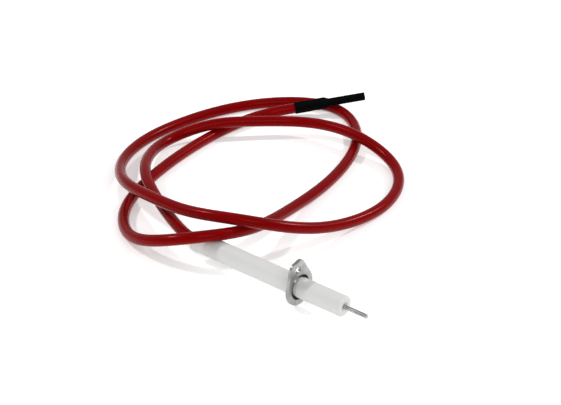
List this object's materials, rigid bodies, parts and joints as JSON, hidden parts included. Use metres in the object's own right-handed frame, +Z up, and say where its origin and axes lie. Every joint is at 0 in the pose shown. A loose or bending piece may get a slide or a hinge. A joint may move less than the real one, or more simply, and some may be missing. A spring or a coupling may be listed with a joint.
{
  "type": "ignition electrode",
  "caption": "Long ceramic-insulated spark electrode with a one-eared flange, on a red silicone high-voltage lead that ends in a sleeved push-on terminal.",
  "frame": {"origin": "on the surface that the electrode lies on, midway between the lead's mouth and the spark tip, below the electrode's axis", "axes": "+X along the electrode towards its spark tip, +Z up, ear of the flange up and leaning towards -Y"},
  "size_m": [0.245, 0.2324, 0.0293],
  "materials": {
    "ceramic": "white glazed alumina",
    "cement": "matte cement",
    "heat_alloy": "drawn wire, satin",
    "plated_steel": "plated",
    "stainless": "satin",
    "graphite_packing": "matte black packing",
    "spring_steel": "bright",
    "clear_silicone": "satin",
    "red_silicone": "satin silicone",
    "glass_braid": "glass fibre braid",
    "core_silicone": "satin",
    "copper": "stranded wire",
    "black_rubber": "matte",
    "black_plastic": "matte",
    "brass": "turned"
  },
  "bodies": {
    "root": {"ceramic_insulator": "ceramic", "nose_cement": "cement", "electrode_rod": "heat_alloy", "crimp_ferrule": "plated_steel", "mounting_flange": "stainless", "packing_ring": "graphite_packing", "retaining_clip": "spring_steel", "mouth_seal": "clear_silicone", "lead_jacket_root": "red_silicone", "lead_braid_root": "glass_braid", "lead_core_root": "core_silicone", "lead_conductor_root": "copper", "lead_cable": "red_silicone", "lead_jacket_end": "red_silicone", "lead_braid_end": "glass_braid", "lead_core_end": "core_silicone", "lead_conductor_end": "copper", "lead_sleeve": "black_rubber", "terminal_shroud": "black_plastic", "terminal_socket": "brass", "socket_spring": "spring_steel"}
  },
  "joints": []
}
